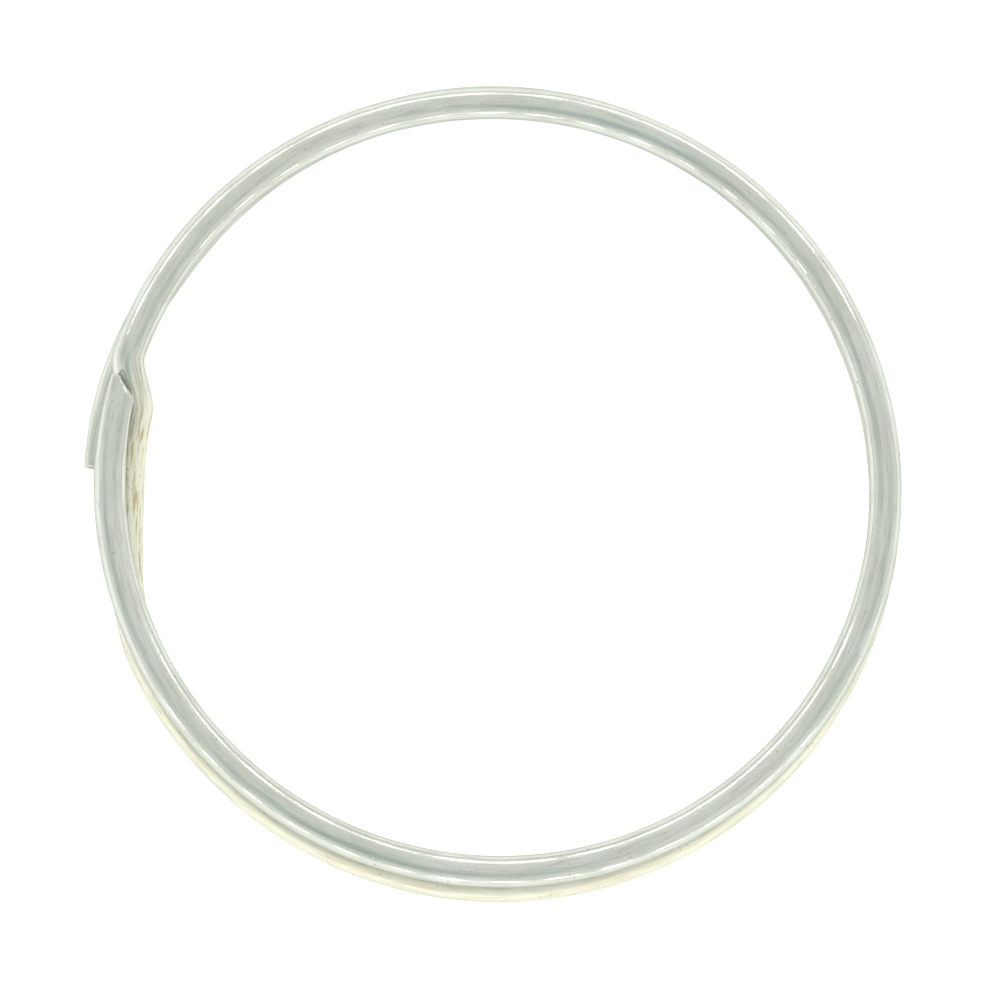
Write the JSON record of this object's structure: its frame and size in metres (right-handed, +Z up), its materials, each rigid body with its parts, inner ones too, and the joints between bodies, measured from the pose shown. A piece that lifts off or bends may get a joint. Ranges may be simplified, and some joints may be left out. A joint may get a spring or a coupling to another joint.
{
  "type": "split key ring",
  "caption": "Split key ring of round polished spring wire in two close coils with a tucked-in crossover; the coils pry apart to take a key and spring shut.",
  "frame": {"origin": "under the ring's centre, on the surface that its lower coil lies on", "axes": "+Z up along the ring's axis, from the lower coil to the upper coil; +X and +Y in the ring's plane, with the upper coil's free end 167 degrees round from +X towards +Y"},
  "size_m": [0.0506, 0.0511, 0.0041],
  "materials": {
    "upper_nickel": "polished nickel plate on spring steel wire, fine lines along the wire",
    "lower_nickel": "polished nickel plate on spring steel wire, slightly warmer"
  },
  "bodies": {
    "lower_tip": {"lower_coil_tip_quarter": "lower_nickel"},
    "lower_second": {"lower_coil_second_quarter": "lower_nickel"},
    "lower_third": {"lower_coil_third_quarter": "lower_nickel"},
    "crossover": {"lower_coil_root_quarter": "lower_nickel", "crossover_step": "lower_nickel", "upper_coil_root_quarter": "upper_nickel"},
    "upper_third": {"upper_coil_third_quarter": "upper_nickel"},
    "upper_second": {"upper_coil_second_quarter": "upper_nickel"},
    "upper_tip": {"upper_coil_tip_quarter": "upper_nickel"}
  },
  "joints": [
    {"name": "lower_tip_twist", "type": "hinge", "parent": "lower_tip", "child": "lower_second", "pos_m": [0.00127, 0.02447, 0.001], "axis": [-0.9986, 0.0536, 0], "range_deg": [0, 2.5]},
    {"name": "lower_coil_opening", "type": "hinge", "parent": "lower_second", "child": "lower_third", "pos_m": [0.02412, -0.0013, 0.001], "axis": [0.0502, 0.9987, 0], "range_deg": [0, 5], "stiffness_Nm_per_rad": 1.75, "springref_deg": -1.15},
    {"name": "lower_root_twist", "type": "hinge", "parent": "lower_third", "child": "crossover", "pos_m": [-0.00127, -0.02457, 0.001], "axis": [0.9986, -0.0536, 0], "range_deg": [0, 2.5]},
    {"name": "upper_root_twist", "type": "hinge", "parent": "crossover", "child": "upper_third", "pos_m": [0.0054, 0.02343, 0.0031], "axis": [-0.9744, 0.225, 0], "range_deg": [0, 2.5]},
    {"name": "upper_coil_opening", "type": "hinge", "parent": "upper_third", "child": "upper_second", "pos_m": [0.02338, -0.00535, 0.0031], "axis": [0.2249, 0.9744, 0], "range_deg": [0, 5], "stiffness_Nm_per_rad": 1.75, "springref_deg": -1.15},
    {"name": "upper_tip_twist", "type": "hinge", "parent": "upper_second", "child": "upper_tip", "pos_m": [-0.0054, -0.02333, 0.0031], "axis": [0.9744, -0.225, 0], "range_deg": [0, 2.5]}
  ],
  "couplings": [
    {"joint": "lower_tip_twist", "follows": "lower_coil_opening", "ratio": 0.5},
    {"joint": "lower_root_twist", "follows": "lower_coil_opening", "ratio": 0.5},
    {"joint": "upper_root_twist", "follows": "upper_coil_opening", "ratio": 0.5},
    {"joint": "upper_tip_twist", "follows": "upper_coil_opening", "ratio": 0.5}
  ]
}
